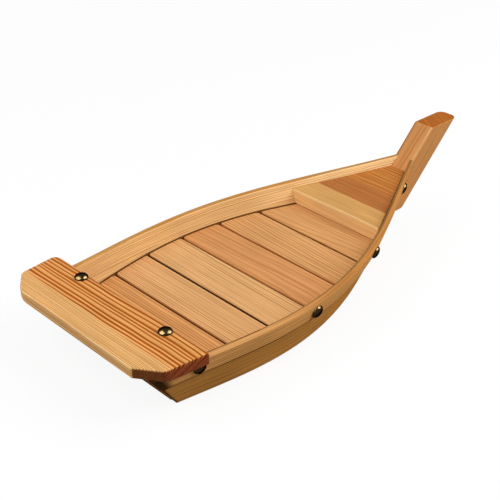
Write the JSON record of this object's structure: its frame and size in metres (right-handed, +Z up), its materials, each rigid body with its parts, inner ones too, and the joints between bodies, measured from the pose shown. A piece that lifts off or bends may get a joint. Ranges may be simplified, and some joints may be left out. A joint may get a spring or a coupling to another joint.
{
  "type": "sushi boat",
  "caption": "Boat-shaped wooden serving platter with bent plank sides, a slatted floor, a broad stern board, a bow deck, a leaning bow post and domed brass nails",
  "frame": {"origin": "On the ground, under the middle of the overall length and width", "axes": "+X towards the bow, +Y to port, +Z up"},
  "size_m": [0.4214, 0.186, 0.086],
  "materials": {
    "pine": "satin clear varnish",
    "pale_pine": "satin clear varnish",
    "red_pine": "satin clear varnish",
    "brass": "polished, darkened"
  },
  "bodies": {
    "root": {"bottom_board": "pine", "transom": "pine", "stern_board": "pine", "stern_beam": "pine", "upper_strake_port": "pine", "upper_strake_starboard": "pine", "lower_strake_port": "pine", "lower_strake_starboard": "pine", "floor_slat_3": "pine", "floor_slat_6": "pine", "floor_runner_port": "pale_pine", "floor_runner_starboard": "pale_pine", "floor_slat_1": "pale_pine", "floor_slat_4": "pale_pine", "floor_slat_7": "pale_pine", "bow_post": "red_pine", "bow_deck": "red_pine", "floor_slat_2": "red_pine", "floor_slat_5": "red_pine", "nail_board_port": "brass", "nail_board_starboard": "brass", "nail_stern_port": "brass", "nail_stern_starboard": "brass", "nail_waist_port": "brass", "nail_waist_starboard": "brass", "nail_bow_port": "brass", "nail_bow_starboard": "brass", "nail_stem_port": "brass", "nail_stem_starboard": "brass"}
  },
  "joints": []
}
